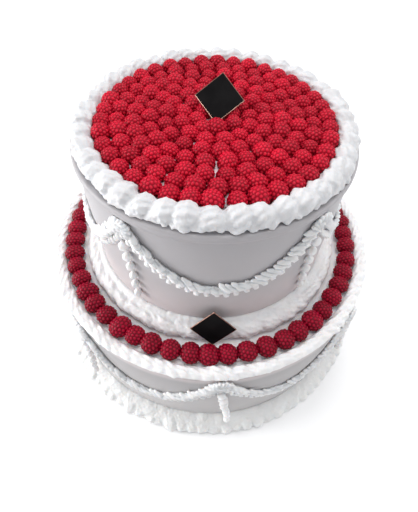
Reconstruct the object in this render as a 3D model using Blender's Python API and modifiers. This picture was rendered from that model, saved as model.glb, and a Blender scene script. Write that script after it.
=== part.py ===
# Two-tier cream cake with raspberries, piped borders, swags and two small tags.
# Metres, +Z up. The origin is the middle of the cake's bottom.

import math
import random

import bpy
import bmesh
from mathutils import Matrix

# Lower tier
lower_radius = 0.1895
lower_height = 0.140

# Upper tier, with a smooth lip round its top edge
upper_radius = 0.1322
upper_top = 0.2930
lip_height = 0.0085
lip_proud = 0.0024

# Space left between pieces that touch
gap = 0.00035
turn_steps = 48

# Piped borders: the middle radius, the half width, the height and the number of shells
top_border_radius = 0.1250
top_border_half = 0.0092
top_border_tall = 0.0155
top_border_shells = 47

inner_border_radius = 0.1414
inner_border_half = 0.0083
inner_border_tall = 0.0235
inner_border_shells = 50

lower_border_radius = 0.1843
lower_border_half = 0.0088
lower_border_tall = 0.0125
lower_border_shells = 90

base_border_radius = 0.2009
base_border_half = 0.0110
base_border_tall = 0.0235
base_border_shells = 100

# Raspberries, standing with their tips up
top_berry_radius = 0.0081
top_berry_tall = 0.0157
top_rows = 7
top_row_radius = 0.1050
top_row_pitch = 0.0145
top_row_spacing = 0.0173

ring_berry_radius = 0.0088
ring_berry_tall = 0.0172
ring_row_radius = 0.1661
ring_berries = 53

# Swags: a rope with a thinner strand under it, hung between peaks on the wall
rope_radius = 0.0040
strand_radius = 0.0030
strand_drop = 0.0062
swag_stations = 12
level_share = 0.035
swag_curve = 2.2
upper_peaks = (-33.0, 43.0, 114.0, 185.0, 256.0)
upper_peak_height = 0.2790
upper_valley_height = 0.2230
lower_first_peak = 5.5
lower_swags = 7
lower_peak_height = 0.1335
lower_valley_height = 0.0770

# Drops of beads that hang from each peak
drop_beads = 7
upper_drop_top = 0.2600
upper_drop_length = 0.0880
lower_drop_top = 0.1120
lower_drop_length = 0.0840
bead_radius = 0.0044

# Square tags
tag_side = 0.033
tag_thick = 0.0012
top_tag_place = (0.0004, -0.0040, 0.3008)
top_tag_tilt = 40.0
top_tag_turn = -7.6
front_tag_place = (0.0067, -0.1517, 0.1410)
front_tag_tilt = 73.0
front_tag_turn = 1.3

random.seed(7)

for old in list(bpy.data.objects):
    bpy.data.objects.remove(old, do_unlink=True)


def new_collection(name, hidden=False):
    collection = bpy.data.collections.new(name)
    bpy.context.scene.collection.children.link(collection)
    collection.hide_render = hidden
    return collection


parts = new_collection("raspberry_cream_cake")
guides = new_collection("guides", hidden=True)


def new_material(name, color, roughness, metallic=0.0):
    material = bpy.data.materials.new(name)
    material.use_nodes = True
    shader = material.node_tree.nodes["Principled BSDF"]
    shader.inputs["Base Color"].default_value = (*color, 1.0)
    shader.inputs["Roughness"].default_value = roughness
    shader.inputs["Metallic"].default_value = metallic
    material.diffuse_color = (*color, 1.0)
    return material


smooth_cream = new_material("smooth_cream", (0.86, 0.84, 0.87), 0.55)
piped_cream = new_material("piped_cream", (0.90, 0.89, 0.91), 0.60)
top_berry_red = new_material("top_berry_red", (0.42, 0.012, 0.022), 0.40)
ring_berry_red = new_material("ring_berry_red", (0.24, 0.006, 0.016), 0.40)
tag_black = new_material("tag_black", (0.012, 0.011, 0.012), 0.30)


def add_object(name, mesh, material, collection=parts):
    mesh.materials.clear()
    mesh.materials.append(material)
    obj = bpy.data.objects.new(name, mesh)
    collection.objects.link(obj)
    return obj


def shade_round(mesh, angle=50.0):
    mesh.shade_smooth()
    mesh.set_sharp_from_angle(angle=math.radians(angle))


def turned(name, profile, material):
    """A profile from the outer side's top to its bottom, turned about Z."""
    mesh = bpy.data.meshes.new(name)
    edges = [(i, i + 1) for i in range(len(profile) - 1)]
    mesh.from_pydata([(r, 0.0, z) for r, z in profile], edges, [])
    obj = add_object(name, mesh, material)
    screw = obj.modifiers.new("turn", "SCREW")
    screw.steps = turn_steps
    screw.render_steps = turn_steps
    screw.use_merge_vertices = True
    screw.merge_threshold = 0.00005
    screw.use_smooth_shade = True
    return obj


def rounded_corner(radius, top, size, steps=3):
    """Points of a quarter circle from the flat top down onto the wall."""
    points = []
    for i in range(steps + 1):
        angle = math.pi / 2 * i / steps
        points.append((radius - size + size * math.sin(angle), top - size + size * math.cos(angle)))
    return points


# The two tiers
lower_profile = [(0.0, lower_height)]
lower_profile += rounded_corner(lower_radius, lower_height, 0.003, 2)
lower_profile += [(lower_radius, 0.0), (0.0, 0.0)]
turned("lower_tier", lower_profile, smooth_cream)

upper_bottom = lower_height + gap
lip_low = upper_top - lip_height
lip_radius = upper_radius + lip_proud
upper_profile = [(0.0, upper_top)]
upper_profile += rounded_corner(lip_radius, upper_top, 0.0022, 2)
upper_profile += [
    (lip_radius, lip_low + 0.0016),
    (upper_radius, lip_low - 0.0020),
    (upper_radius - 0.0010, upper_bottom),
    (0.0, upper_bottom),
]
turned("upper_tier", upper_profile, smooth_cream)


# Corners of a border's section, as shares of its half width across and of its height. The first is
# the outer foot, and the others follow over the top to the inner foot.
round_section = ((0.82, 0.0), (1.0, 0.48), (0.50, 0.97), (-0.50, 1.0), (-1.0, 0.50), (-0.80, 0.0))
low_section = ((0.95, 0.0), (0.62, 0.95), (-0.62, 1.0), (-0.92, 0.0))
wall_section = ((1.0, 0.0), (0.66, 0.52), (-0.30, 0.96), (-1.0, 1.0), (-1.0, 0.0))
foot_section = ((1.0, 0.0), (0.58, 0.66), (-0.96, 1.0), (-1.0, 0.0))


# A torus gives each ring, and its points are moved to the section's corners: full in the middle of
# a shell, pinched where two shells meet. A border that stands against a wall keeps its inner side.
def piped_border(name, radius, half, bottom, tall, shells, section, pinch, at_wall, narrow=None):
    sides = len(section)
    bpy.ops.mesh.primitive_torus_add(
        major_segments=shells * 2,
        minor_segments=sides,
        major_radius=radius,
        minor_radius=half,
    )
    obj = bpy.context.object
    obj.name = name
    obj.data.name = name
    for owner in list(obj.users_collection):
        owner.objects.unlink(obj)
    parts.objects.link(obj)
    obj.data.materials.append(piped_cream)
    puff = [random.uniform(0.94, 1.0) for _ in range(shells)]
    for vertex in obj.data.vertices:
        x, y, z = vertex.co
        around = math.atan2(y, x)
        station = round(around / (2 * math.pi) * shells * 2) % (shells * 2)
        shell = station // 2
        size = puff[shell] if station % 2 == 0 else pinch * min(puff[shell], puff[(shell + 1) % shells])
        if narrow:
            size *= narrow(math.degrees(around))
        turn = math.atan2(z, math.hypot(x, y) - radius)
        across, level = section[round(turn / (2 * math.pi) * sides) % sides]
        across = (across + 1.0) * size - 1.0 if at_wall else across * size
        vertex.co = (
            math.cos(around) * (radius + half * across),
            math.sin(around) * (radius + half * across),
            bottom + tall * size * level,
        )
    shade_round(obj.data, 60.0)
    return obj


def clear_of_tag(degrees):
    """Shells sit lower behind the front tag."""
    away = abs((degrees + 90.0 - 2.7 + 180.0) % 360.0 - 180.0)
    return 0.62 if away < 8.5 else 1.0


piped_border("top_border", top_border_radius, top_border_half, upper_top + gap,
             top_border_tall, top_border_shells, round_section, 0.85, False)
piped_border("inner_border", inner_border_radius, inner_border_half, lower_height + gap,
             inner_border_tall, inner_border_shells, wall_section, 0.82, True, clear_of_tag)
piped_border("lower_border", lower_border_radius, lower_border_half, lower_height + gap,
             lower_border_tall, lower_border_shells, low_section, 0.86, False)
piped_border("base_border", base_border_radius, base_border_half, 0.0,
             base_border_tall, base_border_shells, foot_section, 0.84, True)


# Raspberries: a low core with the pieces that show joined on at their true size
def berry_mesh(name, radius, tall, sides):
    bm = bmesh.new()
    bmesh.ops.create_uvsphere(bm, u_segments=sides, v_segments=3, radius=1.08)
    for vertex in bm.verts:
        blunt = 1.0 + 0.10 * min(0.0, vertex.co.z)
        vertex.co.x *= radius * blunt
        vertex.co.y *= radius * blunt
        vertex.co.z *= tall / 2 / 1.08
    mesh = bpy.data.meshes.new(name)
    bm.to_mesh(mesh)
    bm.free()
    return mesh


def place_berry(collection, mesh, bottom, tall, x, y, size, lean_x, lean_y, spin):
    berry = bpy.data.objects.new("berry", mesh)
    collection.objects.link(berry)
    turn = Matrix.Rotation(lean_x, 4, "X") @ Matrix.Rotation(lean_y, 4, "Y") @ Matrix.Rotation(spin, 4, "Z")
    middle = bottom + tall / 2 * size + 0.0004
    berry.matrix_world = Matrix.Translation((x, y, middle)) @ turn @ Matrix.Scale(size, 4)


def join_heap(core, pieces):
    """Joins the pieces of a collection onto the core and removes them."""
    union = core.modifiers.new("join", "BOOLEAN")
    union.operation = "UNION"
    union.solver = "EXACT"
    union.operand_type = "COLLECTION"
    union.collection = pieces
    bpy.context.view_layer.update()
    graph = bpy.context.evaluated_depsgraph_get()
    joined = bpy.data.meshes.new_from_object(core.evaluated_get(graph))
    material = core.data.materials[0]
    core.modifiers.clear()
    core.data = joined
    core.data.name = core.name
    core.data.materials.clear()
    core.data.materials.append(material)
    for piece in list(pieces.objects):
        bpy.data.objects.remove(piece, do_unlink=True)
    bpy.data.collections.remove(pieces)
    shade_round(core.data, 40.0)


def berry_row(draw, radius, count, wander, lean):
    """Places along one ring: x, y, size, two leans and a spin for each berry."""
    places = []
    start = draw.uniform(0, 2 * math.pi / count)
    for i in range(count):
        angle = start + 2 * math.pi * (i + draw.uniform(-0.07, 0.07)) / count
        away = radius + draw.uniform(-wander, wander * 0.4)
        size = draw.uniform(0.94, 1.0)
        lean_x = math.radians(draw.uniform(-lean, lean))
        lean_y = math.radians(draw.uniform(-lean, lean))
        spin = draw.uniform(0, 2 * math.pi)
        places.append((away * math.cos(angle), away * math.sin(angle), size, lean_x, lean_y, spin))
    return places


berry_bottom = upper_top + gap
core_tall = top_berry_tall * 0.40
core_mesh = bpy.data.meshes.new("top_raspberries")
core_shape = bmesh.new()
bmesh.ops.create_cone(core_shape, cap_ends=True, segments=48, radius1=top_row_radius + 0.002,
                      radius2=top_row_radius + 0.002, depth=core_tall)
bmesh.ops.translate(core_shape, verts=core_shape.verts, vec=(0, 0, berry_bottom + core_tall / 2))
core_shape.to_mesh(core_mesh)
core_shape.free()
top_core = add_object("top_raspberries", core_mesh, top_berry_red)
top_pieces = new_collection("top_pieces")
top_shape = berry_mesh("top_berry", top_berry_radius, top_berry_tall, 5)
top_draw = random.Random(193)
for row in range(top_rows):
    row_radius = top_row_radius - row * top_row_pitch
    count = max(6, round(2 * math.pi * row_radius / top_row_spacing))
    for place in berry_row(top_draw, row_radius, count, 0.0008, 6.0):
        place_berry(top_pieces, top_shape, berry_bottom, top_berry_tall, *place)
join_heap(top_core, top_pieces)

ring_bottom = lower_height + gap
ring_core_tall = ring_berry_tall * 0.40
bpy.ops.mesh.primitive_torus_add(major_segments=ring_berries, minor_segments=4,
                                 major_radius=ring_row_radius, minor_radius=0.0060)
ring_core = bpy.context.object
ring_core.name = "ring_raspberries"
for owner in list(ring_core.users_collection):
    owner.objects.unlink(ring_core)
parts.objects.link(ring_core)
ring_core.data.materials.append(ring_berry_red)
for vertex in ring_core.data.vertices:
    x, y, z = vertex.co
    length = math.hypot(x, y)
    corner = round(math.atan2(z, length - ring_row_radius) / (math.pi / 2)) % 4
    side = 0.0056 if corner < 2 else -0.0056
    level = ring_core_tall if corner in (1, 2) else 0.0
    scale = (ring_row_radius + side) / length
    vertex.co = (x * scale, y * scale, ring_bottom + level)
ring_pieces = new_collection("ring_pieces")
ring_shape = berry_mesh("ring_berry", ring_berry_radius, ring_berry_tall, 5)
for place in berry_row(random.Random(23), ring_row_radius, ring_berries, 0.0008, 5.0):
    place_berry(ring_pieces, ring_shape, ring_bottom, ring_berry_tall, *place)
join_heap(ring_core, ring_pieces)


# Swags. The section is a rope with a strand below it, so its outline has two lobes.
def swag_section():
    curve = bpy.data.curves.new("swag_section", "CURVE")
    curve.dimensions = "2D"
    spline = curve.splines.new("POLY")
    outline = [
        (-rope_radius, 0.0),
        (0.0, rope_radius),
        (rope_radius, 0.0),
        (strand_radius * 0.3, -strand_drop * 0.60),
        (strand_radius * 0.8, -strand_drop - strand_radius),
        (-rope_radius, -strand_drop - strand_radius * 0.4),
    ]
    spline.points.add(len(outline) - 1)
    for point, (x, y) in zip(spline.points, outline):
        point.co = (x, y, 0.0, 1.0)
    spline.use_cyclic_u = True
    obj = bpy.data.objects.new("swag_section", curve)
    guides.objects.link(obj)
    obj.hide_render = True
    obj.display_type = "WIRE"
    return obj


def on_wall(radius, degrees, height):
    """0 degrees faces -Y, and degrees grow towards +X."""
    angle = math.radians(degrees)
    return (radius * math.sin(angle), -radius * math.cos(angle), height)


def add_swag(name, wall, start, end, peak, valley):
    """The first and last stretch run level, so that neighbouring swags meet face to face."""
    radius = wall + rope_radius + gap + 0.0006
    trim = math.degrees(0.0004 / radius)
    curve = bpy.data.curves.new(name, "CURVE")
    curve.dimensions = "3D"
    curve.twist_mode = "Z_UP"
    curve.bevel_mode = "OBJECT"
    curve.bevel_object = section
    curve.use_fill_caps = True
    spline = curve.splines.new("POLY")
    spline.points.add(swag_stations - 1)
    for i, point in enumerate(spline.points):
        inner = max(0.0, min(1.0, (i - 1) / (swag_stations - 3)))
        share = {0: 0.0, swag_stations - 1: 1.0}.get(i, level_share + (1.0 - 2 * level_share) * inner)
        degrees = start + trim + (end - start - 2 * trim) * share
        sag = 1.0 - abs(2.0 * inner - 1.0) ** swag_curve
        point.co = (*on_wall(radius, degrees, peak - (peak - valley) * sag), 1.0)
        point.radius = 1.0
    obj = bpy.data.objects.new(name, curve)
    curve.materials.append(piped_cream)
    parts.objects.link(obj)
    return obj


def add_drop(name, wall, degrees, top, length):
    curve = bpy.data.curves.new(name, "CURVE")
    curve.dimensions = "3D"
    curve.bevel_depth = bead_radius
    curve.bevel_resolution = 1
    curve.use_fill_caps = True
    spline = curve.splines.new("POLY")
    spline.points.add(drop_beads * 2)
    for i, point in enumerate(spline.points):
        share = i / (drop_beads * 2)
        full = 1.0 - 0.22 * share
        point.radius = full if i % 2 else full * 0.62
        height = top - length * (share if i % 2 == 0 else share - 0.12 / drop_beads)
        point.co = (*on_wall(wall + bead_radius + gap + 0.0003, degrees, height), 1.0)
    obj = bpy.data.objects.new(name, curve)
    curve.materials.append(piped_cream)
    parts.objects.link(obj)
    return obj


section = swag_section()
for n, start in enumerate(upper_peaks):
    end = upper_peaks[(n + 1) % len(upper_peaks)]
    if end < start:
        end += 360.0
    add_swag(f"upper_swag_{n + 1}", upper_radius, start, end, upper_peak_height, upper_valley_height)
    add_drop(f"upper_drop_{n + 1}", upper_radius, start, upper_drop_top, upper_drop_length)
for n in range(lower_swags):
    start = lower_first_peak + 360.0 / lower_swags * n
    end = start + 360.0 / lower_swags
    add_swag(f"lower_swag_{n + 1}", lower_radius, start, end, lower_peak_height, lower_valley_height)
    add_drop(f"lower_drop_{n + 1}", lower_radius, start, lower_drop_top, lower_drop_length)


# Square tags that stand on one corner and lean back
def add_tag(name, place, tilt, turn):
    bm = bmesh.new()
    bmesh.ops.create_cube(bm, size=1.0)
    bmesh.ops.scale(bm, verts=bm.verts, vec=(tag_side, tag_thick, tag_side))
    mesh = bpy.data.meshes.new(name)
    bm.to_mesh(mesh)
    bm.free()
    tag = add_object(name, mesh, tag_black)
    lean = Matrix.Rotation(math.radians(tilt - 90.0), 4, "X")
    spin = Matrix.Rotation(math.radians(turn), 4, "Z")
    corner = Matrix.Rotation(math.radians(45.0), 4, "Y")
    raised = Matrix.Translation((0, 0, tag_side / math.sqrt(2)))
    tag.matrix_world = Matrix.Translation(place) @ spin @ lean @ raised @ corner
    return tag


add_tag("tag_top", top_tag_place, top_tag_tilt, top_tag_turn)
add_tag("tag_front", front_tag_place, front_tag_tilt, front_tag_turn)
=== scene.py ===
# Two-tier cream cake: the finished cream, piping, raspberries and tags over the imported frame.
import math
import random

import bpy
import bmesh
from mathutils import Matrix, Vector, noise


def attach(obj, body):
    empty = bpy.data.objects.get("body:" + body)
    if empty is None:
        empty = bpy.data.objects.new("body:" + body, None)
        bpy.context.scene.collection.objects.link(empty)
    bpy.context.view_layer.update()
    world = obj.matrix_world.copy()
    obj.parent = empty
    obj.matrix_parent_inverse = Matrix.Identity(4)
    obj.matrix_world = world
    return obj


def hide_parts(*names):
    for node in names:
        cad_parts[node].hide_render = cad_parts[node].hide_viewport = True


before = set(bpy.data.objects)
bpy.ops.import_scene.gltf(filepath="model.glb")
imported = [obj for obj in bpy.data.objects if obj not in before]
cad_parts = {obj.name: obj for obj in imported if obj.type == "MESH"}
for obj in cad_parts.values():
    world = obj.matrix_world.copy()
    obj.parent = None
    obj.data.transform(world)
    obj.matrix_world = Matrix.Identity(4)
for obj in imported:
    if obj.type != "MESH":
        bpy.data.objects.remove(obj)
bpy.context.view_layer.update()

scene = bpy.context.scene
scene.view_settings.view_transform = "Standard"
scene.view_settings.look = "None"
fullTurn = 2 * math.pi
closeBy = 0.00002  # points nearer than this are one point


# helpers

def newMesh(name, bm, smooth=True):
    mesh = bpy.data.meshes.new(name)
    bm.to_mesh(mesh)
    bm.free()
    if smooth:
        mesh.shade_smooth()
    return mesh


def addPiece(name, mesh, materials, node, subdivide=0):
    piece = bpy.data.objects.new(name, mesh)
    scene.collection.objects.link(piece)
    for material in materials:
        mesh.materials.append(material)
    if subdivide:
        soften = piece.modifiers.new("soften", "SUBSURF")
        soften.levels = subdivide
        soften.render_levels = subdivide
    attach(piece, "root")
    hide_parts(node)


def addCopy(bm, mesh, place):  # appends a copy of the mesh, moved to its place
    start = len(bm.verts)
    bm.from_mesh(mesh)
    bm.verts.ensure_lookup_table()
    bmesh.ops.transform(bm, matrix=place, verts=bm.verts[start:])


def removeMeshes(meshes):
    for mesh in meshes:
        bpy.data.meshes.remove(mesh)


def spinAround(bm, geom, steps):  # a full turn about the cake's axis
    bmesh.ops.spin(bm, geom=geom, axis=(0, 0, 1), cent=(0, 0, 0), angle=fullTurn, steps=steps, use_merge=True)


def onRing(radius, degrees, height):  # 0 degrees faces -Y
    angle = math.radians(degrees)
    return Vector((radius * math.sin(angle), -radius * math.cos(angle), height))


def basis(x, y, z):
    return Matrix((x, y, z)).transposed().to_4x4()


# materials

def newMaterial(name, roughness, **sockets):
    material = bpy.data.materials.new(name)
    material.use_nodes = True
    shader = material.node_tree.nodes["Principled BSDF"]
    shader.inputs["Roughness"].default_value = roughness
    for socket, value in sockets.items():
        shader.inputs[socket.replace("_", " ")].default_value = value
    return material, material.node_tree, shader


def noiseNode(tree, scale, detail=3.0, roughness=0.5, stretch=None):
    coords = tree.nodes.new("ShaderNodeTexCoord")
    texture = tree.nodes.new("ShaderNodeTexNoise")
    texture.inputs["Scale"].default_value = scale
    texture.inputs["Detail"].default_value = detail
    texture.inputs["Roughness"].default_value = roughness
    if stretch:
        mapping = tree.nodes.new("ShaderNodeMapping")
        mapping.inputs["Scale"].default_value = stretch
        tree.links.new(coords.outputs["Object"], mapping.inputs["Vector"])
        tree.links.new(mapping.outputs["Vector"], texture.inputs["Vector"])
    else:
        tree.links.new(coords.outputs["Object"], texture.inputs["Vector"])
    return texture


def attributeNode(tree, name):
    attribute = tree.nodes.new("ShaderNodeAttribute")
    attribute.attribute_name = name
    return attribute


def mixColors(tree, factor, first, second, low=0.35, high=0.65):  # each color is a tone or a socket
    reach = tree.nodes.new("ShaderNodeMapRange")
    reach.inputs["From Min"].default_value = low
    reach.inputs["From Max"].default_value = high
    tree.links.new(factor, reach.inputs["Value"])
    mix = tree.nodes.new("ShaderNodeMix")
    mix.data_type = "RGBA"
    tree.links.new(reach.outputs["Result"], mix.inputs["Factor"])
    for socket, color in (("A", first), ("B", second)):
        if isinstance(color, tuple):
            mix.inputs[socket].default_value = (*color, 1.0)
        else:
            tree.links.new(color, mix.inputs[socket])
    return mix.outputs["Result"]


def addBump(tree, shader, layers):
    previous = None
    for height, strength, distance in layers:
        bump = tree.nodes.new("ShaderNodeBump")
        bump.inputs["Strength"].default_value = strength
        bump.inputs["Distance"].default_value = distance
        tree.links.new(height, bump.inputs["Height"])
        if previous:
            tree.links.new(previous.outputs["Normal"], bump.inputs["Normal"])
        previous = bump
    tree.links.new(previous.outputs["Normal"], shader.inputs["Normal"])


creamLook = {
    # painted shade and painted bounce light by height, up the lower tier and then the upper: all darker than
    # the piping, as painted shade on the walls; each tier darker towards its top under its piping and lighter
    # low down, where the floor and ledge would bounce light; painted pink reflection from the berries low on
    # the upper tier
    "smooth": (
        (0.000, (0.60, 0.58, 0.575)), (0.070, (0.54, 0.52, 0.52)), (0.128, (0.38, 0.365, 0.37)),
        (0.141, (0.70, 0.625, 0.63)), (0.178, (0.65, 0.59, 0.595)), (0.210, (0.52, 0.495, 0.505)),
        (0.283, (0.43, 0.415, 0.43)),
    ),
    # soft is the piping's own cream; top and foot are darker copies of it, painted shade where those borders
    # catch more light
    "piped": {"soft": (0.90, 0.895, 0.90), "top": (0.73, 0.73, 0.745), "foot": (0.84, 0.84, 0.835)},
    # ledge is painted light: a lighter, pinkish cream that lifts the ledge tops out of the shade of the
    # berries and borders, with painted pink reflection from the berries
    "pipedShade": 0.94, "paintedLightLedge": (0.96, 0.92, 0.935), "stained": (0.92, 0.76, 0.80),
    "roughness": 0.46, "shine": 0.42,
    "scatter": 0.0022, "scatterShare": 0.55, "scatterTint": (1.0, 0.85, 0.75),
    "patchScale": 38.0, "grainScale": 900.0, "grainDeep": 0.0004, "smoothGrain": 0.10, "pipedGrain": 0.14,
    "streaks": 0.16, "streakStretch": (18.0, 18.0, 420.0), "streakDeep": 0.0006,
    "folds": 0.45, "foldScale": 330.0, "foldDeep": 0.0016,
}


# paints shade and bounced light by height: the smooth cream's tones change up the cake
def paintedShadeByHeight(tree, tones):  # a colour ramp up the cake
    highest = tones[-1][0]
    coords = tree.nodes.new("ShaderNodeTexCoord")
    parts = tree.nodes.new("ShaderNodeSeparateXYZ")
    tree.links.new(coords.outputs["Object"], parts.inputs["Vector"])
    reach = tree.nodes.new("ShaderNodeMapRange")
    reach.inputs["From Max"].default_value = highest
    tree.links.new(parts.outputs["Z"], reach.inputs["Value"])
    ramp = tree.nodes.new("ShaderNodeValToRGB")
    stops = ramp.color_ramp.elements
    while len(stops) < len(tones):
        stops.new(0.5)
    for stop, (height, _) in zip(stops, tones):
        stop.position = height / highest
    for stop, (_, tone) in zip(stops, tones):
        stop.color = (*tone, 1.0)
    tree.links.new(reach.outputs["Result"], ramp.inputs["Fac"])
    return ramp.outputs["Color"]


def creamShader(name):
    look = creamLook
    material, tree, shader = newMaterial(
        name, look["roughness"], Subsurface_Weight=look["scatterShare"], Subsurface_Scale=look["scatter"],
        Specular_IOR_Level=look["shine"],
    )
    shader.inputs["Subsurface Radius"].default_value = look["scatterTint"]
    patches = noiseNode(tree, look["patchScale"], 4.0)
    return material, tree, shader, patches.outputs["Fac"]


def creamGrain(tree, shader, grain, streaks=0.0, folds=0.0):
    look = creamLook
    fine = noiseNode(tree, look["grainScale"], 2.0)
    layers = [(fine.outputs["Fac"], grain, look["grainDeep"])]
    if streaks:
        drawn = noiseNode(tree, 1.0, 3.0, 0.6, look["streakStretch"])
        layers.append((drawn.outputs["Fac"], streaks, look["streakDeep"]))
    if folds:
        folded = noiseNode(tree, look["foldScale"], 2.0, 0.55)
        layers.append((folded.outputs["Fac"], folds, look["foldDeep"]))
    addBump(tree, shader, layers)


def scrapedCream(name, tones):
    material, tree, shader, patches = creamShader(name)
    # the painted shade ramp by height, mixed in random patches with the topmost tone
    tone = mixColors(tree, patches, paintedShadeByHeight(tree, tones), tones[-1][1], 0.30, 2.20)
    tree.links.new(tone, shader.inputs["Base Color"])
    creamGrain(tree, shader, creamLook["smoothGrain"], streaks=creamLook["streaks"])
    return material


def plainCream(name, tone, shade, grain, folds=0.0):
    material, tree, shader, patches = creamShader(name)
    tree.links.new(mixColors(tree, patches, shade, tone), shader.inputs["Base Color"])
    creamGrain(tree, shader, grain, folds=folds)
    return material


def pipedCreamOf(kind, tone):
    shade = tuple(value * creamLook["pipedShade"] for value in tone)
    return plainCream(kind + "PipedCream", tone, shade, creamLook["pipedGrain"], creamLook["folds"])


smoothCreamPaintedShade = scrapedCream("smoothCreamPaintedShade", creamLook["smooth"])
pipedCreams = {kind: pipedCreamOf(kind, tone) for kind, tone in creamLook["piped"].items()}
# the ledge cream carries painted light and painted pink reflection
stainedCream, paintedLightLedgeCream = [
    plainCream(kind + "Cream", creamLook[kind], creamLook[kind], creamLook["smoothGrain"])
    for kind in ("stained", "paintedLightLedge")
]

berryLook = {
    # seam is painted shade in the creases between drupelets and glint a painted highlight on their middles;
    # dark is mixed in by ripe, partly painted shade; tip and dim vary at random
    "top": {"glint": (0.90, 0.040, 0.080), "tip": (0.72, 0.0045, 0.032), "dim": (0.50, 0.003, 0.022),
            "dark": (0.22, 0.001, 0.009), "seam": (0.30, 0.0018, 0.014)},
    # the ring tones are a darker copy of the top tones: painted shade under the upper tier
    "ring": {"glint": (0.52, 0.012, 0.045), "tip": (0.36, 0.002, 0.024), "dim": (0.25, 0.0012, 0.016),
             "dark": (0.12, 0.001, 0.008), "seam": (0.13, 0.0008, 0.009)},
    "roughness": 0.30, "shine": 0.13,
    "scatter": 0.0012, "scatterShare": 0.10, "scatterTint": (1.0, 0.2, 0.15),
    "patchScale": 85.0, "grainScale": 1400.0, "grain": 0.12, "grainDeep": 0.0002,
    "ripeAndPaintedShadeReach": (0.1, 1.3), "seamReach": (0.0, 0.75), "glintReach": (0.70, 1.20),
}


def berryMaterial(name, tones):  # darker for riper berries and, as painted shade, towards each berry's foot; by level from seam to tip, painted shade at the seams and a painted highlight at the middles
    look = berryLook
    material, tree, shader = newMaterial(
        name, look["roughness"], Subsurface_Weight=look["scatterShare"], Subsurface_Scale=look["scatter"],
        Specular_IOR_Level=look["shine"],
    )
    shader.inputs["Subsurface Radius"].default_value = look["scatterTint"]
    patches = noiseNode(tree, look["patchScale"], 2.0)
    ripeAndPaintedShade = attributeNode(tree, "ripeAndPaintedShade")
    level = attributeNode(tree, "level")
    body = mixColors(tree, patches.outputs["Fac"], tones["dim"], tones["tip"], 0.38, 0.62)
    body = mixColors(tree, ripeAndPaintedShade.outputs["Fac"], body, tones["dark"], *look["ripeAndPaintedShadeReach"])
    # level paints shade in the seams between drupelets and a highlight on their middles
    body = mixColors(tree, level.outputs["Fac"], tones["seam"], body, *look["seamReach"])
    body = mixColors(tree, level.outputs["Fac"], body, tones["glint"], *look["glintReach"])
    tree.links.new(body, shader.inputs["Base Color"])
    fine = noiseNode(tree, look["grainScale"], 2.0)
    addBump(tree, shader, [(fine.outputs["Fac"], look["grain"], look["grainDeep"])])
    return material


topBerryRed = berryMaterial("topBerryRed", berryLook["top"])
shadedRingBerryRed = berryMaterial("shadedRingBerryRed", berryLook["ring"])


# tiers: a turned profile, with the slight waves that a scraper leaves

tierSizes = {
    "lowerRadius": 0.1895, "lowerTop": 0.140, "lowerCorner": 0.003, "lowerLedge": 0.186,
    "upperRadius": 0.1322, "upperTop": 0.2930, "upperCorner": 0.0028, "upperLedge": 0.122, "taper": 0.001,
    "gap": 0.00035,  # between the tiers
    "lipTall": 0.0085, "lipProud": 0.0024,
    # the lip's underside, from the lip's own edge and foot
    "lipCurve": ((0.0001, 0.0040), (-0.0002, 0.0022), (-0.0010, 0.0008), (-0.0020, -0.0004),
                 (-0.0024, -0.0022)),
    "belowCorner": 0.006, "steps": 168, "sharpFrom": 62.0,
    "wave": 0.00035, "waveScale": Vector((14, 14, 55)), "stillRadius": 0.02, "stillHeight": 0.001,
}


def turnedTier(name, profile, node, paintedLightLedge):  # how far out the top gets the ledge cream, with its painted light and painted pink reflection
    sizes = tierSizes
    bm = bmesh.new()
    rail = [bm.verts.new((away, 0.0, height)) for away, height in profile]
    edges = [bm.edges.new(pair) for pair in zip(rail, rail[1:])]
    spinAround(bm, rail + edges, sizes["steps"])
    bmesh.ops.remove_doubles(bm, verts=bm.verts, dist=closeBy)
    bmesh.ops.recalc_face_normals(bm, faces=bm.faces)
    for vert in bm.verts:
        away = math.hypot(vert.co.x, vert.co.y)
        if away < sizes["stillRadius"] or vert.co.z < sizes["stillHeight"]:
            continue
        swell = noise.noise(vert.co * sizes["waveScale"]) * sizes["wave"]
        vert.co.x *= 1 + swell / away
        vert.co.y *= 1 + swell / away
    bm.normal_update()
    for face in bm.faces:
        middle = face.calc_center_median()
        isLedge = face.normal.z > 0.4 and math.hypot(middle.x, middle.y) < paintedLightLedge
        face.material_index = 1 if isLedge else 0
    mesh = newMesh(name, bm)
    mesh.set_sharp_from_angle(angle=math.radians(sizes["sharpFrom"]))
    addPiece(name, mesh, (smoothCreamPaintedShade, paintedLightLedgeCream), node)


def straightRun(start, end, count):  # without its end
    return [(start[0] + (end[0] - start[0]) * i / count, start[1] + (end[1] - start[1]) * i / count)
            for i in range(count)]


def cornerRun(radius, top, size, count):
    points = []
    for i in range(count + 1):
        angle = math.pi / 2 * i / count
        points.append((radius - size + size * math.sin(angle), top - size + size * math.cos(angle)))
    return points


def makeLowerTier():
    sizes = tierSizes
    radius, top, corner = sizes["lowerRadius"], sizes["lowerTop"], sizes["lowerCorner"]
    profile = straightRun((0.0, top), (radius - corner, top), 10)
    profile += cornerRun(radius, top, corner, 4)
    profile += straightRun((radius, top - sizes["belowCorner"]), (radius, 0.0), 26)
    profile += [(radius, 0.0), (0.0, 0.0)]
    turnedTier("lowerTierCream", profile, "lower_tier", sizes["lowerLedge"])


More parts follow.
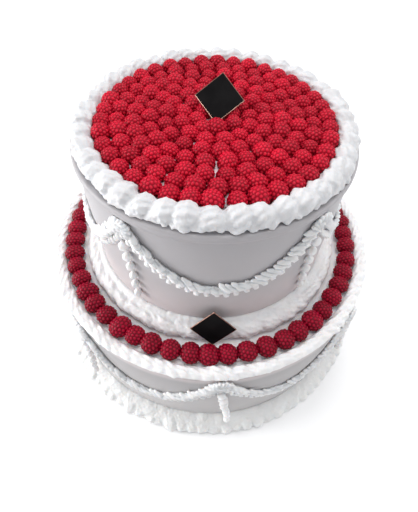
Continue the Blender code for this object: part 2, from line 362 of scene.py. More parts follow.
def makeUpperTier():
    sizes = tierSizes
    top, corner = sizes["upperTop"], sizes["upperCorner"]
    base = sizes["lowerTop"] + sizes["gap"]
    foot = sizes["upperRadius"] - sizes["taper"]
    lip = sizes["upperRadius"] + sizes["lipProud"]
    lipLow = top - sizes["lipTall"]
    profile = straightRun((0.0, top), (lip - corner, top), 8)
    profile += cornerRun(lip, top, corner, 4)
    profile += [(lip + out, lipLow + up) for out, up in sizes["lipCurve"]]
    profile += straightRun((sizes["upperRadius"], lipLow - sizes["belowCorner"]), (foot, base), 28)
    profile += [(foot, base), (0.0, base)]
    turnedTier("upperTierCream", profile, "upper_tier", sizes["upperLedge"])


makeLowerTier()
makeUpperTier()
print("tiers made")


# piping: shells with a star section over a plain core, melted into one skin

def sweepStar(bm, path, sizes, ridges, depth, points=3, side=(0, 0, 1), twist=0.0):
    # sizes: half width and half height at each station; points: corners for each ridge of the star
    ring = bmesh.ops.create_circle(bm, cap_ends=False, segments=ridges * points, radius=1.0)["verts"]
    for i, vert in enumerate(ring):
        vert.co *= 1.0 if i % points else 1.0 - depth
    edges = list({edge for vert in ring for edge in vert.link_edges})
    side = Vector(side)
    places = []
    for i, point in enumerate(path):
        heading = (path[min(i + 1, len(path) - 1)] - path[max(i - 1, 0)]).normalized()
        side = (side - heading * side.dot(heading)).normalized()
        turn = basis(side, heading.cross(side), heading)
        form = Matrix.Diagonal((*sizes[i], 1.0, 1.0)) @ Matrix.Rotation(twist * i, 4, "Z")
        places.append(Matrix.Translation(point) @ turn @ form)
    bmesh.ops.transform(bm, matrix=places[0], verts=ring)
    rims = [edges]
    for before, after in zip(places, places[1:]):
        made = bmesh.ops.extrude_edge_only(bm, edges=edges)["geom"]
        edges = [part for part in made if isinstance(part, bmesh.types.BMEdge)]
        verts = [part for part in made if isinstance(part, bmesh.types.BMVert)]
        bmesh.ops.transform(bm, matrix=after @ before.inverted(), verts=verts)
    rims.append(edges)
    for rim in rims:
        cap = bmesh.ops.edgeloop_fill(bm, edges=rim)["faces"]
        bmesh.ops.poke(bm, faces=cap)


# a shell's stations: along the ring, across (outward), over, half width and half height, in mm
# crumple: scale and depth of the uneven swells, first before the melting, then after it
borders = {
    "top": {
        # the top border's cream is the darker top tone: painted shade
        "radius": 0.1218, "bottom": 0.2934, "node": "top_border", "seed": 40, "cream": "top",
        "crumple": ((120.0, 0.0012), (420.0, 0.0004)),
        "core": {"out": 0.0, "up": 0.0058, "wide": 0.0082, "tall": 0.0058, "tilt": 0.0, "corners": 12,
                 "groove": 0.0},
        "layers": (
            {"count": 42, "out": 0.0, "up": 0.0, "tilt": 0.0, "ridges": 8, "depth": 0.15, "twist": 10.0,
             "slant": 6.0, "variants": 8, "uneven": 0.08, "side": (0, 1, 0), "stations": (
                 (-13.5, 2.2, 3.4, 1.6, 1.6), (-11.5, 1.8, 4.4, 4.6, 3.8), (-7.8, 1.0, 6.2, 7.8, 6.2),
                 (-3.2, 0.3, 7.6, 10.8, 8.4), (1.2, -0.3, 8.2, 11.9, 9.3), (5.2, -0.5, 7.8, 11.0, 8.6),
                 (8.0, -0.7, 6.8, 8.6, 6.8), (9.8, -0.8, 6.0, 5.2, 4.4), (10.7, -0.9, 5.6, 1.9, 1.8))},
            {"count": 118, "out": 0.0070, "up": 0.0038, "tilt": 50.0, "ridges": 4, "depth": 0.32,
             "twist": 12.0, "slant": 55.0, "variants": 10, "uneven": 0.38, "side": (0, 1, 0), "stations": (
                 (-5.8, 0.0, 0.0, 1.0, 0.8), (-3.8, 0.4, 0.6, 2.7, 2.0), (-0.6, 0.5, 0.9, 3.6, 2.6),
                 (2.6, 0.3, 0.8, 3.0, 2.3), (4.7, -0.1, 0.3, 1.0, 0.9))},
        ),
    },
    "inner": {
        "radius": 0.1405, "bottom": 0.1404, "node": "inner_border", "seed": 41, "cream": "soft",
        "crumple": ((180.0, 0.0010), (420.0, 0.0004)),
        "tag": {"middle": 2.7, "reach": 9.0, "size": 0.68},  # smaller shells behind the front tag
        "core": {"out": -0.0018, "up": 0.0100, "wide": 0.0130, "tall": 0.0038, "tilt": 52.0, "corners": 20,
                 "groove": 0.08},
        "layers": (
            {"count": 100, "out": 0.0030, "up": 0.0086, "tilt": 50.0, "ridges": 5, "depth": 0.24,
             "twist": 8.0, "slant": 11.0, "variants": 9, "uneven": 0.14, "side": (0, 1, 0), "stations": (
                 (-12.0, -7.6, 0.0, 1.0, 0.8), (-9.0, -5.8, 0.9, 4.0, 2.0), (-4.5, -3.0, 1.9, 6.0, 3.1),
                 (0.2, 0.0, 2.4, 6.8, 3.7), (4.2, 2.8, 2.2, 5.8, 3.3), (7.2, 5.2, 1.5, 3.4, 2.2),
                 (9.0, 6.9, 0.8, 1.0, 0.9))},
        ),
    },
    "lower": {
        "radius": 0.1843, "bottom": 0.1404, "node": "lower_border", "seed": 42, "cream": "soft",
        "crumple": ((240.0, 0.0007), (520.0, 0.0003)),
        "core": {"out": -0.0006, "up": 0.0036, "wide": 0.0070, "tall": 0.0036, "tilt": 0.0, "corners": 12,
                 "groove": 0.0},
        "layers": (
            {"count": 98, "out": 0.0, "up": 0.0, "tilt": 0.0, "ridges": 5, "depth": 0.38, "twist": 6.0,
             "slant": 11.0, "variants": 9, "uneven": 0.10, "side": (0, 1, 0), "stations": (
                 (-12.5, -5.6, 2.6, 0.9, 0.8), (-9.5, -4.4, 4.2, 3.4, 2.4), (-4.8, -2.0, 5.6, 5.6, 3.6),
                 (0.4, 0.6, 6.4, 6.4, 4.1), (4.6, 2.8, 6.1, 5.2, 3.4), (7.6, 4.6, 5.2, 3.2, 2.3),
                 (9.4, 5.9, 4.4, 1.1, 1.0))},
        ),
    },
    "base": {
        # the base border's cream is the darker foot tone: painted shade
        "radius": 0.2000, "bottom": 0.0, "node": "base_border", "seed": 43, "cream": "foot",
        "crumple": ((120.0, 0.0016), (380.0, 0.0005)),
        "core": {"out": -0.0026, "up": 0.0112, "wide": 0.0140, "tall": 0.0066, "tilt": 46.0, "corners": 14,
                 "groove": 0.0},
        "layers": (
            {"count": 94, "out": 0.0, "up": 0.0, "tilt": 0.0, "ridges": 7, "depth": 0.09, "twist": 6.0,
             "slant": 9.0, "variants": 9, "uneven": 0.12, "side": (1, 0, 0), "stations": (
                 (-4.6, -9.2, 17.6, 3.4, 1.2), (-3.8, -7.4, 17.0, 6.6, 2.8), (-2.2, -3.8, 14.4, 8.2, 4.6),
                 (0.0, 0.4, 10.8, 8.8, 6.2), (1.8, 4.0, 7.8, 8.8, 7.0), (3.0, 6.4, 6.2, 7.8, 6.4),
                 (3.6, 8.0, 5.4, 5.6, 4.8), (3.9, 9.0, 5.0, 2.2, 2.0))},
        ),
    },
}
pipingLook = {"coreSteps": 176, "voxel": 0.00122, "ease": 1, "jitter": 0.4, "fat": (0.92, 1.06)}


def joinCopy(bm, part):
    mesh = newMesh("part", part)
    bm.from_mesh(mesh)
    bpy.data.meshes.remove(mesh)


def addCore(bm, look):
    core = look["core"]
    tilt = math.radians(core["tilt"])
    ring = bmesh.new()
    loop = []
    for i in range(core["corners"]):
        angle = fullTurn * i / core["corners"]
        size = 1.0 - core["groove"] * (i % 2)
        out = core["wide"] * size * math.cos(angle)
        over = core["tall"] * size * math.sin(angle)
        away = look["radius"] + core["out"] + out * math.cos(tilt) + over * math.sin(tilt)
        height = look["bottom"] + core["up"] - out * math.sin(tilt) + over * math.cos(tilt)
        loop.append(ring.verts.new((away, 0.0, height)))
    edges = [ring.edges.new((loop[i - 1], loop[i])) for i in range(len(loop))]
    spinAround(ring, loop + edges, pipingLook["coreSteps"])
    bmesh.ops.remove_doubles(ring, verts=ring.verts, dist=closeBy)
    joinCopy(bm, ring)


def shellMesh(layer, draw):  # stations are in mm, the mesh in metres
    bm = bmesh.new()
    path, sizes = [], []
    for along, across, over, wide, tall in layer["stations"]:
        jitter = Vector([draw.uniform(-pipingLook["jitter"], pipingLook["jitter"]) for _ in range(3)])
        path.append((Vector((along, across, over)) + jitter) / 1000.0)
        fat = draw.uniform(*pipingLook["fat"]) / 1000.0
        sizes.append((wide * fat, tall * fat))
    twist = math.radians(layer["twist"] * draw.uniform(0.5, 1.5))
    sweepStar(bm, path, sizes, layer["ridges"], layer["depth"], side=layer["side"], twist=twist)
    return newMesh("shell", bm)


def shellSize(look, degrees, size):
    tag = look.get("tag")
    if tag and abs((degrees - tag["middle"] + 180.0) % 360.0 - 180.0) < tag["reach"]:
        return size * tag["size"]
    return size


def addShells(bm, look, layer, draw):
    tilt = math.radians(layer["tilt"])
    shells = [shellMesh(layer, draw) for _ in range(layer["variants"])]
    for i in range(layer["count"]):
        degrees = 360.0 * (i + draw.uniform(-0.12, 0.12)) / layer["count"]
        size = shellSize(look, degrees, 1.0 + draw.uniform(-1.0, 0.6) * layer["uneven"])
        outward = onRing(1.0, degrees, 0.0)
        around = Vector((-outward.y, outward.x, 0.0))
        across = outward * math.cos(tilt) - Vector((0, 0, math.sin(tilt)))
        over = outward * math.sin(tilt) + Vector((0, 0, math.cos(tilt)))
        lean = Matrix.Rotation(math.radians(draw.uniform(-1, 1) * layer["slant"]), 4, "Z")
        radius = look["radius"] + layer["out"] + draw.uniform(-0.0006, 0.0005)
        origin = onRing(radius, degrees, look["bottom"] + layer["up"])
        place = Matrix.Translation(origin) @ basis(around, across, over) @ lean @ Matrix.Scale(size, 4)
        addCopy(bm, draw.choice(shells), place)
    removeMeshes(shells)


def melt(bm):  # overlapping dabs become one skin, its creases softened
    dabs = newMesh("dabs", bm)
    holder = bpy.data.objects.new("holder", dabs)
    scene.collection.objects.link(holder)
    fuse = holder.modifiers.new("fuse", "REMESH")
    fuse.mode = "VOXEL"
    fuse.voxel_size = pipingLook["voxel"]
    soften = holder.modifiers.new("soften", "SMOOTH")
    soften.factor = 0.5
    soften.iterations = pipingLook["ease"]
    skin = bpy.data.meshes.new_from_object(holder.evaluated_get(bpy.context.evaluated_depsgraph_get()))
    bpy.data.objects.remove(holder)
    melted = bmesh.new()
    melted.from_mesh(skin)
    removeMeshes((dabs, skin))
    return melted


def crumple(bm, scale, amount):  # uneven swells along the normals
    bm.normal_update()
    for vert in bm.verts:
        vert.co += vert.normal * noise.noise(vert.co * scale) * amount


def pipedBorder(kind):
    look = borders[kind]
    draw = random.Random(look["seed"])
    coarse, fine = look["crumple"]
    bm = bmesh.new()
    addCore(bm, look)
    for layer in look["layers"]:
        addShells(bm, look, layer, draw)
    bmesh.ops.recalc_face_normals(bm, faces=bm.faces)
    crumple(bm, *coarse)
    bm = melt(bm)
    crumple(bm, *fine)
    for vert in bm.verts:
        vert.co.z = max(vert.co.z, look["bottom"])
    name = kind + "BorderPiping"
    addPiece(name, newMesh(name, bm), (pipedCreams[look["cream"]],), look["node"])


for kind in borders:
    pipedBorder(kind)
print("borders piped")


# raspberries: the points of a sphere become drupelets

berrySizes = {
    "swell": 0.125, "seam": 0.965, "uneven": 0.045,  # of a berry's half width
    "rimAlong": 0.60, "rimHigh": 0.70, "rimLevel": 0.80,  # between a drupelet's middle and its corner
    "narrowTop": 0.16, "narrowFoot": 0.05, "bend": 0.06, "cutOff": -0.36,
    "variants": 10, "extraLean": 9.0, "wander": 0.0008,
    # shade: random darkness between berries; footShade: painted shade towards each berry's foot
    "shade": 0.75, "footShade": 1.25, "coreTall": 0.0052, "coreSteps": 96,
}
topBerries = {
    "name": "topRaspberries", "node": "top_raspberries", "slot": "top_berries", "seed": 5, "rowSeed": 193,
    "rows": 7, "rowRadius": 0.1050, "rowPitch": 0.0145, "spacing": 0.0173, "lean": 6.0,
    "radius": 0.0081, "fat": 1.13, "tall": 0.0157, "bottom": 0.29335, "core": (0.003, 0.107),
    "byTag": 0.0180, "atTag": (0.0010, -0.0128, 1.04, 0.0, 0.0, 0.0),  # this berry hides the tag's foot
}
ringBerries = {
    "name": "ringRaspberries", "node": "ring_raspberries", "slot": "ring_berries", "seed": 6, "rowSeed": 23,
    "rowRadius": 0.1661, "count": 53, "lean": 5.0,
    "radius": 0.0088, "fat": 1.27, "tall": 0.0172, "bottom": 0.14035, "core": (0.1605, 0.1717),
}


def splitRound(bm):  # a point in each face, then the old edges turned: three times the faces
    old = list(bm.edges)
    bmesh.ops.poke(bm, faces=bm.faces)
    bmesh.ops.rotate_edges(bm, edges=old)
    for vert in bm.verts:
        vert.co.normalize()


def berryMesh(draw):  # each point gets a low dome: a seam around it, a rim and a raised middle
    sizes = berrySizes
    bm = bmesh.new()
    bmesh.ops.create_icosphere(bm, subdivisions=1, radius=1.0)
    # level: 1 at a drupelet's middle, the rim level on its rim, 0 at its seam; the material paints shade at
    # the seams and a highlight at the middles from it
    level = bm.verts.layers.float.new("level")
    splitRound(bm)
    splitRound(bm)
    middles = set(bm.verts)
    for vert in bm.verts:
        jitter = Vector([draw.uniform(-sizes["uneven"], sizes["uneven"]) for _ in range(3)])
        vert.co = (vert.co + jitter).normalized()
    splitRound(bm)
    for vert in bm.verts:
        if vert in middles:
            vert[level] = 1.0
            vert.co *= 1.0 + sizes["swell"] * draw.uniform(0.8, 1.15)
        else:
            vert[level] = 0.0
            vert.co *= sizes["seam"]
    spokes = [edge for edge in bm.edges if edge.verts[0][level] != edge.verts[1][level]]
    bmesh.ops.subdivide_edges(bm, edges=spokes, cuts=1)
    for vert in bm.verts:
        if 0.1 < vert[level] < 0.9:
            near = sorted((edge.other_vert(vert) for edge in vert.link_edges), key=lambda other: other[level])
            corner, middle = near[0].co, near[-1].co
            way = middle.normalized() * (1.0 - sizes["rimAlong"]) + corner.normalized() * sizes["rimAlong"]
            vert.co = way.normalized() * (1.0 + (middle.length - 1.0) * sizes["rimHigh"])
            vert[level] = sizes["rimLevel"]
    most = sizes["bend"]
    bend = Vector((draw.uniform(-most, most), draw.uniform(-most, most), 0.0))
    for vert in bm.verts:
        up = max(0.0, vert.co.z)
        narrow = 1.0 - sizes["narrowTop"] * up ** 2 - sizes["narrowFoot"] * max(0.0, -vert.co.z)
        vert.co.x *= narrow
        vert.co.y *= narrow
        vert.co += bend * up
    under = [face for face in bm.faces if max(vert.co.z for vert in face.verts) < sizes["cutOff"]]
    bmesh.ops.delete(bm, geom=under, context="FACES")
    bmesh.ops.holes_fill(bm, edges=[edge for edge in bm.edges if edge.is_boundary], sides=0)
    bmesh.ops.recalc_face_normals(bm, faces=bm.faces)
    return newMesh("berryShape", bm)


def berryRow(draw, radius, count, wander, lean):  # x, y, size, two leans and a spin for each berry
    places = []
    start = draw.uniform(0, fullTurn / count)
    for i in range(count):
        angle = start + fullTurn * (i + draw.uniform(-0.07, 0.07)) / count
        away = radius + draw.uniform(-wander, wander * 0.4)
        size = draw.uniform(0.94, 1.0)
        leanX = math.radians(draw.uniform(-lean, lean))
        leanY = math.radians(draw.uniform(-lean, lean))
        spin = draw.uniform(0, fullTurn)
        places.append((away * math.cos(angle), away * math.sin(angle), size, leanX, leanY, spin))
    return places


def addBerryCore(bm, heap):  # a low ring of stained cream under the berries
    inner, outer = heap["core"]
    bottom, top = heap["bottom"], heap["bottom"] + berrySizes["coreTall"]
    before = len(bm.faces)
    corners = ((inner, bottom), (outer, bottom), (outer, top), (inner, top))
    rail = [bm.verts.new((away, 0.0, height)) for away, height in corners]
    edges = [bm.edges.new((rail[i - 1], rail[i])) for i in range(len(rail))]
    spinAround(bm, rail + edges, berrySizes["coreSteps"])
    bm.faces.ensure_lookup_table()
    core = bm.faces[before:]
    bmesh.ops.recalc_face_normals(bm, faces=core)
    for face in core:
        face.material_index = 1


def heapOfBerries(heap, places, material):
    sizes = berrySizes
    bottom, tall = heap["bottom"], heap["tall"]
    draw = random.Random(heap["seed"])
    shapes = [berryMesh(draw) for _ in range(sizes["variants"])]
    bm = bmesh.new()
    bm.verts.layers.float.new("ripeAndPaintedShade")
    for x, y, size, leanX, leanY, spin in places:
        leanX += math.radians(draw.uniform(-1, 1) * sizes["extraLean"])
        leanY += math.radians(draw.uniform(-1, 1) * sizes["extraLean"])
        turn = Matrix.Rotation(leanX, 4, "X") @ Matrix.Rotation(leanY, 4, "Y") @ Matrix.Rotation(spin, 4, "Z")
        size *= draw.uniform(0.96, 1.06)
        wide = heap["radius"] / 1.06 * size * heap["fat"]
        wideX = wide * draw.uniform(0.94, 1.05)
        wideY = wide * draw.uniform(0.94, 1.05)
        form = Matrix.Diagonal((wideX, wideY, tall / 1.85 * size, 1.0))
        middle = Matrix.Translation((x, y, bottom + tall / 2 * size))
        first = len(bm.verts)
        addCopy(bm, draw.choice(shapes), middle @ turn @ form)
        ripeAndPaintedShade = bm.verts.layers.float["ripeAndPaintedShade"]
        # a random darkness for each berry, plus painted shade growing towards its foot
        shade = draw.uniform(0.0, 1.0)
        for vert in bm.verts[first:]:
            low = max(0.0, 1.0 - (vert.co.z - bottom) / tall)
            vert[ripeAndPaintedShade] = sizes["shade"] * shade + sizes["footShade"] * low ** 1.2
    addBerryCore(bm, heap)
    addPiece(heap["name"], newMesh(heap["name"], bm), (material, stainedCream), heap["node"])
    removeMeshes(shapes)
    print(heap["name"], len(places))


def topPlaces():
    heap = topBerries
    draw = random.Random(heap["rowSeed"])
    places = []
    for row in range(heap["rows"]):
        radius = heap["rowRadius"] - row * heap["rowPitch"]
        count = max(6, round(fullTurn * radius / heap["spacing"]))
        places += berryRow(draw, radius, count, berrySizes["wander"], heap["lean"])
    near = min(places, key=lambda place: math.hypot(place[0], place[1] + heap["byTag"]))
    places[places.index(near)] = heap["atTag"]
    return places


def ringPlaces():
    heap = ringBerries
    draw = random.Random(heap["rowSeed"])
    return berryRow(draw, heap["rowRadius"], heap["count"], berrySizes["wander"], heap["lean"])


heapOfBerries(topBerries, topPlaces(), topBerryRed)
heapOfBerries(ringBerries, ringPlaces(), shadedRingBerryRed)


# swags: a rope of ribbed leaves with a fringe under it, and drops of beads at the peaks

swagLook = {
    "ropeHalf": 0.0027, "strandHalf": 0.0020, "strandDrop": 0.0092, "pitch": 0.0058, "fringePitch": 0.0078,
    "leaf": (0.0146, 0.0176, 0.0156), "tip": (0.0106, 0.0126, 0.0120),
    "follow": 0.48, "dip": -25.0, "hang": -58.0, "flip": 9.0, "stagger": 0.0015,
    "crown": 13, "crownFan": (205.0, -230.0), "crownOut": 0.0072, "crownLeaf": 0.0128, "crownLean": -52.0,
    "crownDrop": 0.0045, "crownStep": 0.0004, "variants": 6, "samples": 200, "curve": 2.2, "level": 0.035,
    "upperPeaks": (-33.0, 43.0, 114.0, 185.0, 256.0), "upperHigh": 0.2790, "upperLow": 0.2230,
    "lowerFirst": 5.5, "lowerCount": 7, "lowerHigh": 0.1335, "lowerLow": 0.0770,
    # a leaf's stations along its length, each with its half size
    "leafShape": ((-0.50, 0.05), (-0.36, 0.15), (-0.06, 0.23), (0.22, 0.27), (0.42, 0.18), (0.50, 0.04)),
    "leafStar": {"ridges": 5, "depth": 0.34, "points": 2},
}
dropLook = {
    "upper": {"top": 0.2600, "long": 0.0880, "beads": 6, "first": 0.0051, "last": 0.0043, "plump": 0.37,
              "lean": 1.4, "stand": 0.0},
    "lower": {"top": 0.1120, "long": 0.0800, "beads": 7, "first": 0.0058, "last": 0.0046, "plump": 0.40,
              "lean": 2.6, "stand": 0.0085},
    "variants": 3, "proud": 0.70,
    # a bead's stations from its top, each with its half size
    "beadShape": ((0.98, 0.20), (0.80, 0.66), (0.42, 1.04), (-0.05, 1.14), (-0.50, 0.96), (-0.88, 0.52),
                  (-1.10, 0.12)),
    "beadStar": {"ridges": 6, "depth": 0.24, "points": 2},
}


def leafMesh(draw):  # a small ribbed leaf, one unit long, fat in front
    bm = bmesh.new()
    bend = draw.uniform(0.04, 0.12)
    path = [Vector((x, bend * (4 * x * x - 1), 0.0)) for x, _ in swagLook["leafShape"]]
    sizes = [(size * draw.uniform(0.92, 1.06),) * 2 for _, size in swagLook["leafShape"]]
    sweepStar(bm, path, sizes, **swagLook["leafStar"])
    bmesh.ops.recalc_face_normals(bm, faces=bm.faces)
    return newMesh("leaf", bm)


def beadMesh(draw):  # a ridged dab, pointed below
    bm = bmesh.new()
    shape = dropLook["beadShape"]
    path = [Vector((draw.uniform(-0.06, 0.06), draw.uniform(-0.06, 0.06), height)) for height, _ in shape]
    sizes = [(size * draw.uniform(0.94, 1.05),) * 2 for _, size in shape]
    twist = math.radians(draw.uniform(5.0, 14.0))
    sweepStar(bm, path, sizes, side=(1, 0, 0), twist=twist, **dropLook["beadStar"])
    bmesh.ops.recalc_face_normals(bm, faces=bm.faces)
    return newMesh("bead", bm)


def swagPoint(span, share, offset=0.0):  # span: wall, start, end, high and low
    wall, start, end, high, low = span
    level = swagLook["level"]
    inner = max(0.0, min(1.0, (share - level) / (1.0 - 2 * level)))
    sag = 1.0 - abs(2.0 * inner - 1.0) ** swagLook["curve"]
    return onRing(wall + offset, start + (end - start) * share, high - (high - low) * sag)


def layLeaf(bm, leaves, draw, span, share, offset, below, angle, size):
    here = swagPoint(span, share, offset)
    ahead = swagPoint(span, min(1.0, share + 0.01), offset)
    behind = swagPoint(span, max(0.0, share - 0.01), offset)
    outward = Vector((here.x, here.y, 0.0)).normalized()
    around = Vector((-outward.y, outward.x, 0.0))
    up = Vector((0, 0, 1))
    along = (ahead - behind).normalized()
    slope = math.atan2(along.z, along.dot(around))
    down = around * math.sin(slope) - up * math.cos(slope)
    turn = Matrix.Rotation(slope * swagLook["follow"] + math.radians(angle), 4, "Z")
    flip = Matrix.Rotation(math.radians(swagLook["flip"] + draw.uniform(-6, 6)), 4, "Y")
    place = Matrix.Translation(here + down * below) @ basis(around, up, -outward)
    addCopy(bm, draw.choice(leaves), place @ turn @ flip @ Matrix.Diagonal((*size, 1.0)))


def evenShares(span, pitch):  # places at even lengths along the swag
    count = swagLook["samples"]
    samples = [swagPoint(span, i / count) for i in range(count + 1)]
    lengths = [0.0]
    for before, after in zip(samples, samples[1:]):
        lengths.append(lengths[-1] + (after - before).length)
    places = round(lengths[-1] / pitch)
    shares = []
    for i in range(places):
        wanted = (i + 0.5) * lengths[-1] / places
        shares.append(next((n / count for n, length in enumerate(lengths) if length >= wanted), 1.0))
    return shares


def addCrown(bm, leaves, draw, span):  # a fan of leaves over the first peak
    look = swagLook
    wall, start, _, high, _ = span
    outward = onRing(1.0, start, 0.0)
    around = Vector((-outward.y, outward.x, 0.0))
    middle = Matrix.Translation(onRing(wall + look["ropeHalf"], start, high - look["crownDrop"]))
    base = middle @ basis(around, Vector((0, 0, 1)), -outward)
    first, sweep = look["crownFan"]
    form = Matrix.Scale(look["crownLeaf"], 4)
    for i in range(look["crown"]):
        turn = Matrix.Rotation(math.radians(first + sweep * i / (look["crown"] - 1)), 4, "Z")
        out = Matrix.Translation((look["crownOut"], 0.0, -look["crownStep"] * (i % 2)))
        lean = Matrix.Rotation(math.radians(look["crownLean"] + draw.uniform(-10, 10)), 4, "Z")
        addCopy(bm, draw.choice(leaves), base @ turn @ out @ lean @ form)


def makeSwag(name, node, span, seed):
    look = swagLook
    draw = random.Random(seed)
    leaves = [leafMesh(draw) for _ in range(look["variants"])]
    bm = bmesh.new()
    for share in evenShares(span, look["pitch"]):
        grow = draw.uniform(0.90, 1.08)
        below = draw.uniform(-1, 1) * look["stagger"]
        angle = look["dip"] + draw.uniform(-13, 13)
        size = [value * grow for value in look["leaf"]]
        layLeaf(bm, leaves, draw, span, share, look["ropeHalf"], below, angle, size)
    for share in evenShares(span, look["fringePitch"]):
        grow = draw.uniform(0.85, 1.10)
        angle = look["hang"] + draw.uniform(-16, 16)
        size = [value * grow for value in look["tip"]]
        layLeaf(bm, leaves, draw, span, share, look["strandHalf"], look["strandDrop"], angle, size)
    addCrown(bm, leaves, draw, span)
    addPiece(name, newMesh(name, bm), (pipedCreams["soft"],), node)
    removeMeshes(leaves)


def makeDrop(name, node, wall, degrees, look, seed):
    draw = random.Random(seed)
    beads = [beadMesh(draw) for _ in range(dropLook["variants"])]
    bm = bmesh.new()
    pitch = look["long"] / look["beads"]
    spin = Matrix.Rotation(math.radians(degrees), 4, "Z")
    for i in range(look["beads"]):
        share = i / (look["beads"] - 1)
        size = (look["first"] + (look["last"] - look["first"]) * share) * draw.uniform(0.93, 1.05)
        away = wall + size * dropLook["proud"] + look["stand"] * share ** 1.3
        angle = degrees + look["lean"] * share + draw.uniform(-0.2, 0.2)
        where = onRing(away, angle, look["top"] - pitch * (i + 0.5))
        turn = Matrix.Rotation(math.radians(draw.uniform(-9, 9)), 4, "Y")
        form = Matrix.Diagonal((size, size, pitch * look["plump"], 1.0))
        addCopy(bm, draw.choice(beads), Matrix.Translation(where) @ spin @ turn @ form)
    addPiece(name, newMesh(name, bm), (pipedCreams["soft"],), node, 1)
    removeMeshes(beads)


def hangTier(tier, peaks, high, low, swagSeed, dropSeed):  # a swag from each peak to the next
    wall = tierSizes[tier + "Radius"]
    for n, (start, end) in enumerate(zip(peaks, peaks[1:])):
        span = (wall, start, end, high, low)
        makeSwag(f"{tier}Swag{n + 1}", f"{tier}_swag_{n + 1}", span, swagSeed + n)
        makeDrop(f"{tier}Drop{n + 1}", f"{tier}_drop_{n + 1}", wall, start, dropLook[tier], dropSeed + n)


def hangSwags():
    look = swagLook
    upper = [*look["upperPeaks"], look["upperPeaks"][0] + 360.0]
    hangTier("upper", upper, look["upperHigh"], look["upperLow"], 100, 200)
    lower = [look["lowerFirst"] + 360.0 / look["lowerCount"] * n for n in range(look["lowerCount"] + 1)]
    hangTier("lower", lower, look["lowerHigh"], look["lowerLow"], 300, 400)


hangSwags()
print("swags hung")


# tags: thin black card with a fine metal edge

tagLook = {
    "side": 0.033, "thick": 0.0012, "rim": 0.0005, "sunk": 0.00006, "edge": 0.00018, "broadFrom": 0.0005,
    "card": ((0.006, 0.0055, 0.006), (0.010, 0.0095, 0.010)),
    "metal": ((0.34, 0.20, 0.16), (0.46, 0.28, 0.22)),
    "top": {"place": (0.0004, -0.0040, 0.3008), "tilt": 40.0, "turn": -7.6, "node": "tag_top"},
    "front": {"place": (0.0067, -0.1517, 0.1410), "tilt": 73.0, "turn": 1.3, "node": "tag_front"},
}


def blackCard():
    material, tree, shader = newMaterial("tagBlack", 0.50, Specular_IOR_Level=0.04)
    patches = noiseNode(tree, 60.0, 3.0)
    tree.links.new(mixColors(tree, patches.outputs["Fac"], *tagLook["card"]), shader.inputs["Base Color"])
    grain = noiseNode(tree, 1600.0, 2.0)
    addBump(tree, shader, [(grain.outputs["Fac"], 0.05, 0.0002)])
    return material


def metalEdge():
    material, tree, shader = newMaterial("tagRim", 0.30, Metallic=1.0)
    patches = noiseNode(tree, 160.0, 3.0)
    tree.links.new(mixColors(tree, patches.outputs["Fac"], *tagLook["metal"]), shader.inputs["Base Color"])
    return material


tagMaterials = (blackCard(), metalEdge())


def makeTag(name, look):
    side = tagLook["side"]
    bm = bmesh.new()
    bmesh.ops.create_cube(bm, size=1.0)
    bmesh.ops.scale(bm, verts=bm.verts, vec=(side, tagLook["thick"], side))
    bmesh.ops.bevel(bm, geom=bm.edges[:], offset=tagLook["edge"], affect="EDGES", segments=2, profile=0.5,
                    material=-1)
    broad = [face for face in bm.faces if face.calc_area() > tagLook["broadFrom"]]
    for face in bm.faces:
        face.material_index = 1
    for face in broad:
        bmesh.ops.inset_individual(bm, faces=[face], thickness=tagLook["rim"], depth=-tagLook["sunk"])
        face.material_index = 0
    place = Matrix.Translation(look["place"]) @ Matrix.Rotation(math.radians(look["turn"]), 4, "Z")
    place @= Matrix.Rotation(math.radians(look["tilt"] - 90.0), 4, "X")
    place @= Matrix.Translation((0, 0, side / math.sqrt(2)))  # stands on a corner
    place @= Matrix.Rotation(math.radians(45.0), 4, "Y")
    bmesh.ops.transform(bm, matrix=place, verts=bm.verts)
    addPiece(name, newMesh(name, bm, smooth=False), tagMaterials, look["node"])


makeTag("topTag", tagLook["top"])
makeTag("frontTag", tagLook["front"])
print("tags set")


# floor, light and camera

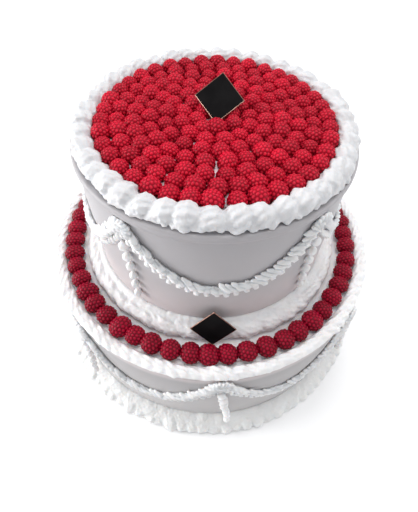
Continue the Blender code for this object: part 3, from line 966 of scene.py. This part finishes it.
studio = {
    "floorTone": (0.97, 0.97, 0.975), "floorShade": 0.99, "floorHalf": 4.0,
    "sky": 0.46, "skyTone": (0.97, 0.98, 1.0), "aim": (0, 0, 0.15),
    "lights": {
        "key": {"place": (-3.0, -0.2, 0.9), "size": 1.8, "power": 80.0},
        "overhead": {"place": (-0.2, 0.1, 5.2), "size": 2.6, "power": 100.0},
        "right": {"place": (2.8, 0.2, 1.6), "size": 1.8, "power": 25.0},
        "back": {"place": (0.3, 2.4, 3.0), "size": 2.0, "power": 34.0},
    },
    "camera": {"place": (0.0, -0.3119, 0.5106), "turn": (36.485, -1.351, 2.034), "lens": 26.72},
}


def makeFloor():
    bm = bmesh.new()
    bmesh.ops.create_grid(bm, x_segments=8, y_segments=8, size=studio["floorHalf"])
    floor = bpy.data.objects.new("floor", newMesh("floor", bm))
    scene.collection.objects.link(floor)
    material, tree, shader = newMaterial("paleFloor", 0.75)
    patches = noiseNode(tree, 3.0, 2.0)
    light = studio["floorTone"]
    shade = tuple(value * studio["floorShade"] for value in light)
    tree.links.new(mixColors(tree, patches.outputs["Fac"], shade, light), shader.inputs["Base Color"])
    floor.data.materials.append(material)


def makeLight(name, look):
    data = bpy.data.lights.new(name, "AREA")
    data.shape = "DISK"
    data.size = look["size"]
    data.energy = look["power"]
    light = bpy.data.objects.new(name, data)
    scene.collection.objects.link(light)
    light.location = look["place"]
    light.rotation_euler = (Vector(studio["aim"]) - light.location).to_track_quat("-Z", "Y").to_euler()


def makeSky():
    world = bpy.data.worlds.new("paleRoom")
    scene.world = world
    world.use_nodes = True
    background = world.node_tree.nodes["Background"]
    background.inputs["Color"].default_value = (*studio["skyTone"], 1.0)
    background.inputs["Strength"].default_value = studio["sky"]


def makeCamera():
    look = studio["camera"]
    data = bpy.data.cameras.new("camera")
    data.sensor_width = 36.0
    data.lens = look["lens"]
    data.clip_start = 0.01
    camera = bpy.data.objects.new("camera", data)
    scene.collection.objects.link(camera)
    camera.location = look["place"]
    camera.rotation_euler = [math.radians(angle) for angle in look["turn"]]
    scene.camera = camera


makeFloor()
for name, look in studio["lights"].items():
    makeLight(name + "Light", look)
makeSky()
makeCamera()
print("stage set")
